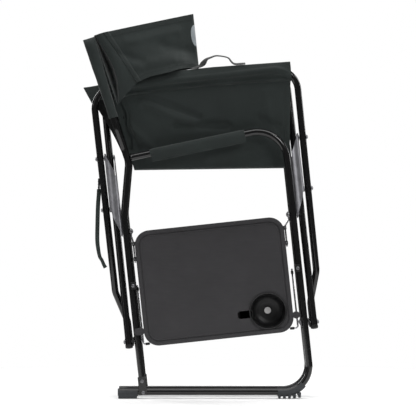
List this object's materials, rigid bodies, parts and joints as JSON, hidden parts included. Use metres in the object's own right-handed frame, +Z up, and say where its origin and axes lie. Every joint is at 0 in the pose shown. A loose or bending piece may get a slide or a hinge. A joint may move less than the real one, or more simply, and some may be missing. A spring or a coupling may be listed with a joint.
{
  "type": "folding camp chair",
  "caption": "Folding camp chair with scissor tube frame, fabric seat and back, padded armrests and a fold-down side table with cup holder.",
  "frame": {"origin": "on the ground under the middle of the folded chair", "axes": "+X to the sitter's front, +Y to the sitter's left, +Z up"},
  "size_m": [0.5621, 0.1462, 0.9029],
  "materials": {
    "tube": "gloss black powder coat",
    "fabric": "matt woven polyester",
    "webbing": "woven webbing",
    "strap": "woven strap",
    "table_plastic": "fine-grained moulded plastic",
    "black_plastic": "satin",
    "rubber": "matt",
    "plated_steel": "grey zinc plate",
    "bright_wire": "bright plated wire"
  },
  "bodies": {
    "right_frame": {"right_front_tube": "tube", "right_rear_post": "tube", "right_rear_foot": "rubber", "right_front_foot": "rubber", "right_arm_sleeve": "fabric", "right_back_sleeve": "fabric", "right_rear_tab": "tube", "right_lower_bolt_rear": "plated_steel", "right_link_bolt_rear": "plated_steel", "right_lower_bolt_front": "plated_steel", "right_link_bolt_front": "plated_steel", "strut_clamp_rear": "black_plastic", "clamp_screw_rear": "bright_wire", "strut_clamp_front": "black_plastic", "clamp_screw_front": "bright_wire"},
    "inner_loop": {"inner_loop": "tube", "scissor_bolt_rear": "plated_steel", "inner_leg_bolt_rear": "plated_steel", "scissor_bolt_front": "plated_steel", "inner_leg_bolt_front": "plated_steel"},
    "outer_loop": {"outer_loop": "tube", "outer_leg_bolt_rear": "plated_steel", "outer_leg_bolt_front": "plated_steel", "closing_strap": "strap", "strap_clip": "black_plastic"},
    "left_frame": {"left_front_tube": "tube", "left_rear_post": "tube", "left_rear_foot": "rubber", "left_front_foot": "rubber", "left_arm_sleeve": "fabric", "left_back_sleeve": "fabric", "left_rear_tab": "tube", "left_lower_bolt_rear": "plated_steel", "left_link_bolt_rear": "plated_steel", "left_lower_bolt_front": "plated_steel", "left_link_bolt_front": "plated_steel"},
    "right_links": {"right_link_rear": "plated_steel", "right_link_front": "plated_steel"},
    "left_links": {"left_link_rear": "plated_steel", "left_link_front": "plated_steel"},
    "seat_right": {"seat_right_sleeve": "fabric", "seat_right_panel": "fabric", "carry_handle": "webbing"},
    "seat_left": {"seat_left_sleeve": "fabric", "seat_left_panel": "fabric"},
    "seat_right_middle": {"seat_right_middle": "fabric"},
    "seat_left_middle": {"seat_left_middle": "fabric"},
    "seat_right_rear": {"seat_right_rear": "fabric"},
    "seat_left_rear": {"seat_left_rear": "fabric"},
    "back_right": {"back_right_panel": "fabric"},
    "back_left": {"back_left_panel": "fabric"},
    "table": {"table_tray": "table_plastic", "cup_holder": "black_plastic", "cup_drain": "bright_wire", "table_wire_rear": "bright_wire", "table_wire_front": "bright_wire", "table_tab_rear": "table_plastic", "table_tab_front": "table_plastic"},
    "table_struts": {"table_strut_rear": "bright_wire", "table_strut_front": "bright_wire"}
  },
  "joints": [
    {"name": "fold", "type": "hinge", "parent": "right_frame", "child": "inner_loop", "pos_m": [0.0007, -0.04192, 0.1514], "axis": [-0.9943, 0, -0.1063], "range_deg": [0, 54.5]},
    {"name": "scissor", "type": "hinge", "parent": "inner_loop", "child": "outer_loop", "pos_m": [-0.03269, 0, 0.46384], "axis": [0.9943, 0, 0.1063], "range_deg": [0, 120]},
    {"name": "left_foot_pivot", "type": "hinge", "parent": "outer_loop", "child": "left_frame", "pos_m": [0.0007, 0.04192, 0.1514], "axis": [-0.9943, 0, -0.1063], "range_deg": [0, 60]},
    {"name": "right_link_pivot", "type": "hinge", "parent": "right_frame", "child": "right_links", "pos_m": [-0.0267, -0.04192, 0.40779], "axis": [-0.9943, 0, -0.1063], "range_deg": [0, 110]},
    {"name": "left_link_pivot", "type": "hinge", "parent": "left_frame", "child": "left_links", "pos_m": [-0.0267, 0.04192, 0.40779], "axis": [0.9943, 0, 0.1063], "range_deg": [0, 110]},
    {"name": "seat_right_swing", "type": "hinge", "parent": "outer_loop", "child": "seat_right", "pos_m": [-0.06313, -0.03822, 0.74868], "axis": [0.9943, 0, 0.1063], "range_deg": [0, 30], "deforming": ["seat_right_sleeve", "carry_handle"]},
    {"name": "seat_right_middle_shift", "type": "hinge", "parent": "seat_right", "child": "seat_right_middle", "pos_m": [0.38258, -0.00376, 0.54332], "axis": [0.0144, -0.9907, -0.1349], "range_deg": [0, 6], "deforming": ["seat_right_middle"]},
    {"name": "seat_right_rear_unfold", "type": "hinge", "parent": "seat_right", "child": "seat_right_rear", "pos_m": [-0.20872, -0.03212, 0.69944], "axis": [-0.2895, -0.1333, 0.9479], "range_deg": [0, 181], "deforming": ["seat_right_rear"]},
    {"name": "seat_left_swing", "type": "hinge", "parent": "inner_loop", "child": "seat_left", "pos_m": [-0.06313, 0.03822, 0.74868], "axis": [-0.9943, 0, -0.1063], "range_deg": [0, 30], "deforming": ["seat_left_sleeve"]},
    {"name": "seat_left_middle_shift", "type": "hinge", "parent": "seat_left", "child": "seat_left_middle", "pos_m": [0.38258, 0.00376, 0.54332], "axis": [-0.0144, -0.9907, 0.1349], "range_deg": [0, 6], "deforming": ["seat_left_middle"]},
    {"name": "seat_left_rear_unfold", "type": "hinge", "parent": "seat_left", "child": "seat_left_rear", "pos_m": [-0.20872, 0.03212, 0.69944], "axis": [0.2895, -0.1333, -0.9479], "range_deg": [0, 181], "deforming": ["seat_left_rear"]},
    {"name": "back_right_swing", "type": "hinge", "parent": "right_frame", "child": "back_right", "pos_m": [-0.28758, -0.04284, 0.82825], "axis": [-0.2596, -0.0791, 0.9625], "range_deg": [0, 78], "deforming": ["back_right_panel"]},
    {"name": "back_left_swing", "type": "hinge", "parent": "left_frame", "child": "back_left", "pos_m": [-0.28758, 0.04284, 0.82825], "axis": [0.2596, -0.0791, -0.9625], "range_deg": [0, 78], "deforming": ["back_left_panel"]},
    {"name": "table_swing", "type": "hinge", "parent": "right_frame", "child": "table", "pos_m": [-0.0267, -0.04192, 0.40779], "axis": [-0.9943, 0, -0.1063], "range_deg": [0, 90]},
    {"name": "strut_swing", "type": "hinge", "parent": "right_frame", "child": "table_struts", "pos_m": [-0.01312, -0.03243, 0.28071], "axis": [-0.9943, 0, -0.1063], "range_deg": [0, 150]}
  ],
  "couplings": [
    {"joint": "scissor", "follows": "fold", "ratio": 2},
    {"joint": "left_foot_pivot", "follows": "fold", "ratio": 1},
    {"joint": "right_link_pivot", "follows": "fold", "ratio": 1.8102},
    {"joint": "left_link_pivot", "follows": "fold", "ratio": 1.8102},
    {"joint": "seat_right_swing", "follows": "fold", "ratio": 0.50826},
    {"joint": "seat_right_middle_shift", "follows": "fold", "ratio": 0.098533},
    {"joint": "seat_right_rear_unfold", "follows": "fold", "ratio": 3.3028},
    {"joint": "seat_left_swing", "follows": "fold", "ratio": 0.50826},
    {"joint": "seat_left_middle_shift", "follows": "fold", "ratio": 0.098533},
    {"joint": "seat_left_rear_unfold", "follows": "fold", "ratio": 3.3028},
    {"joint": "back_right_swing", "follows": "fold", "ratio": 1.4001},
    {"joint": "back_left_swing", "follows": "fold", "ratio": 1.4001},
    {"joint": "strut_swing", "follows": "table_swing", "ratio": 1.6494}
  ]
}
